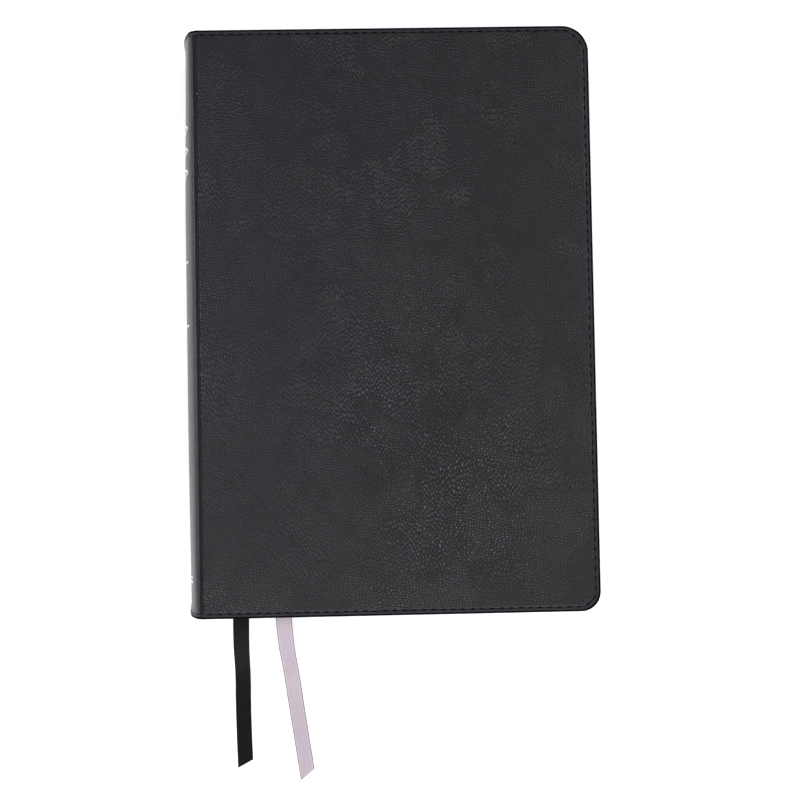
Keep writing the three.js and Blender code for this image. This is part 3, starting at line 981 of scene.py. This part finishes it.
def add_gutter(name, side):
    """The folded endpaper in the joint, from the pastedown round to the first gathering."""
    inner = TOP_Z - COVER_THICK
    block_top = page_high.z
    line = [(5.4, inner - 0.02 * MM), (3.5, inner - 0.02 * MM), (1.6, inner - 0.03 * MM),
            (0.7, inner - 0.1 * MM), (0.35, inner - 0.3 * MM), (0.6, block_top + 0.22 * MM),
            (1.6, block_top + 0.12 * MM), (3.5, block_top + 0.1 * MM), (7.0, block_top + 0.1 * MM)]
    section = catmull_rom([Vector((JOINT_X + x * MM, z)) for x, z in line], 4)
    reach = PAGE_HEAD_Y - 0.3 * MM
    thick = 0.1 * MM
    columns = 13
    vertices = []
    for face in (0.5, -0.5):
        for p, out in zip(section, line_normals(section)):
            at = p + out * face * thick
            for k in range(columns):
                z = at.y if side > 0 else TOP_Z - at.y
                vertices.append(Vector((at.x, reach * (1 - 2 * k / (columns - 1)), z)))
    piece = mesh_object(name, vertices, sheet_faces(len(section), columns), [ENDPAPER], sharp=50)
    start = Vector((JOINT_X, 0, block_top + 0.15 * MM))
    end = Vector((JOINT_X, 0, inner - 0.05 * MM))
    if side < 0:
        start, end = turned_over(start), turned_over(end)
    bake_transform(piece)


def page_outline(left, right):
    """A page's outline from the fold at the tail round to the fold at the head."""
    radius = 6 * MM
    corner_points = 6
    outline = [Vector((left, -PAGE_HEAD_Y))]
    for sign in (-1, 1):
        for k in range(corner_points + 1):
            angle = math.pi / 2 * (k / corner_points - 1 if sign < 0 else k / corner_points)
            centre = Vector((right - radius, sign * (PAGE_HEAD_Y - radius)))
            outline.append(centre + radius * Vector((math.cos(angle), math.sin(angle))))
    outline.append(Vector((left, PAGE_HEAD_Y)))
    return outline


def add_leaf(name, node, body, material):
    """A free leaf: a thin sheet, very slightly cockled, on its CAD plate's place."""
    low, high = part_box(node)
    thick = 0.12 * MM
    cockle = 0.05 * MM
    ripples, skew = 11, 2.2  # in radians, across the leaf and along its fore-edge
    z = (low.z + high.z) / 2
    outline = page_outline(low.x + 0.1 * MM, high.x)
    bands = 24
    vertices = []
    for face in (0.5, -0.5):
        for k in range(bands + 1):
            share = (k + 0.1) / (bands + 0.1)
            for p in outline:
                x = low.x + (p.x - low.x) * share
                wave = math.sin(ripples * share + skew * p.y / PAGE_HEAD_Y) * cockle * share
                vertices.append(Vector((x, p.y, z + wave + face * thick)))
    piece = mesh_object(name, vertices, sheet_faces(bands + 1, len(outline)), [material], sharp=50)
    place(piece, body, "endpaper", node)


add_gutter("front_gutter", 1)
add_gutter("back_gutter", -1)
add_leaf("front_free_endpaper", "front_flyleaf", "front_leaf", ENDPAPER)
add_leaf("back_free_endpaper", "back_flyleaf", "back_leaf", ENDPAPER)


# ---------------------------------------------------------------- text block
def add_gathering(node, low_z, high_z):
    """One gathering: leaves folded round at the back, and slightly uneven at the fore-edge."""
    low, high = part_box(node)
    half = (high_z - low_z) / 2
    middle = (high_z + low_z) / 2
    right = high.x + rng.uniform(-0.05, 0.05) * MM
    worn_rim = 0.05 * MM
    levels = [-1, -0.96, -0.8, -0.45, 0, 0.45, 0.8, 0.96, 1]
    vertices = []
    for level in levels:
        round_back = half * (1 - math.sqrt(1 - level * level))
        inward = worn_rim if abs(level) == 1 else 0
        for p in page_outline(low.x + round_back, right - inward):
            vertices.append(Vector((p.x, p.y - math.copysign(inward, p.y), middle + level * half)))
    columns = len(vertices) // len(levels)
    faces = grid_faces(len(levels), columns, wrap=True)
    finish = [0 if f % columns == columns - 1 else 1 for f in range(len(faces))]
    faces += [tuple(range(columns)), tuple(range(len(vertices) - columns, len(vertices)))]
    finish += [0, 0]
    name = node.replace("gathering", "leaves")
    piece = mesh_object(name, vertices, faces, [PAPER, SILVER_EDGES], None, finish, False)
    place(piece, "text_block", "bible_paper", node)


def add_gatherings():
    """Gatherings that touch, except where a ribbon lies between two of them."""
    most = 0.31 * MM
    clearance = 0.01 * MM
    boxes = [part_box(node) for node in GATHERINGS]
    for k, (low, high) in enumerate(boxes):
        below = boxes[k - 1][1].z if k else low.z
        above = boxes[k + 1][0].z if k + 1 < len(boxes) else high.z
        low_z = low.z - min((low.z - below) / 2, most) + clearance
        high_z = high.z + min((above - high.z) / 2, most) - clearance
        add_gathering(GATHERINGS[k], low_z, high_z)


add_gatherings()


def add_headband(name, node):
    """A cord wound with silk, sitting on the folds at one end of the spine."""
    low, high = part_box(node)
    y = (low.y + high.y) / 2
    solid_thick = 1.8 * MM
    cord_radius = 0.8 * MM
    crown = low.x + solid_thick / 2
    half_height = (high.z - low.z) / 2
    sagitta = high.x - low.x - solid_thick
    radius = (half_height ** 2 + sagitta ** 2) / (2 * sagitta)
    angle_to = math.asin(half_height / radius) * 0.97
    steps, around, steps_to_bead = 150, 10, 3
    vertices, uvs = [], []
    for k in range(steps + 1):
        angle = angle_to * (2 * k / steps - 1)
        centre = Vector((crown + radius * (1 - math.cos(angle)), y, MID_Z + radius * math.sin(angle)))
        out = Vector((-math.cos(angle), 0, math.sin(angle)))
        bead = cord_radius * (1 + 0.05 * math.sin(2 * math.pi * k / steps_to_bead))
        for m in range(around):
            a = 2 * math.pi * m / around
            vertices.append(centre + out * math.cos(a) * bead + Vector((0, math.sin(a) * bead, 0)))
            uvs.append((bead * a, radius * angle))
    piece = mesh_object(name, vertices, tube_faces(steps + 1, around), [BAND_SILK], uvs)
    place(piece, "text_block", "band_silk", node)


add_headband("head_band_silk", "head_band")
add_headband("tail_band_silk", "tail_band")


# ---------------------------------------------------------------- foil on the spine
FOIL_STEP = 0.8 * MM
FOIL_RISE = 0.03 * MM
FOIL_ROOT = -0.05 * MM


def foil_line(start, end, width, vertices, faces, uvs):
    """A stamped line between two places on the spine, each given along it and up from its middle, in mm."""
    a, b = Vector(start) * MM, Vector(end) * MM
    side = Vector((a.y - b.y, b.x - a.x)).normalized() * width / 2 * MM
    steps = max(2, round((b - a).length / FOIL_STEP))
    first = len(vertices)
    for k in range(steps + 1):
        p = a + (b - a) * k / steps
        for q, lift in zip((p - side, p + side, p + side, p - side),
                           (FOIL_RISE, FOIL_RISE, FOIL_ROOT, FOIL_ROOT)):
            vertices.append(spine_point(q.x, q.y / spine_circle(q.x)[1], lift))
            uvs.append(tuple(q))
    faces.extend(tube_faces(steps + 1, 4, first))


def add_foil():
    """Silver rules across the spine and a column of plain lozenges near its head."""
    vertices, faces, uvs = [], [], []
    rule_reach = 12.6
    stroke = 1.0
    for y, width in ((25.2, 0.9), (-0.6, 0.9), (-101.6, 0.6), (-103.4, 1.1)):
        foil_line((y, -rule_reach), (y, rule_reach), width, vertices, faces, uvs)
    half_height, half_width = 4.4, 13.4
    for middle in (61.5, 70.5, 79.5):
        tips = [(middle - half_height, 0), (middle, half_width),
                (middle + half_height, 0), (middle, -half_width)]
        for a, b in zip(tips, tips[1:] + tips[:1]):
            foil_line(a, b, stroke, vertices, faces, uvs)
    piece = mesh_object("spine_foil", vertices, faces, [FOIL], uvs)
    place(piece, "text_block", "spine_leather")


add_foil()
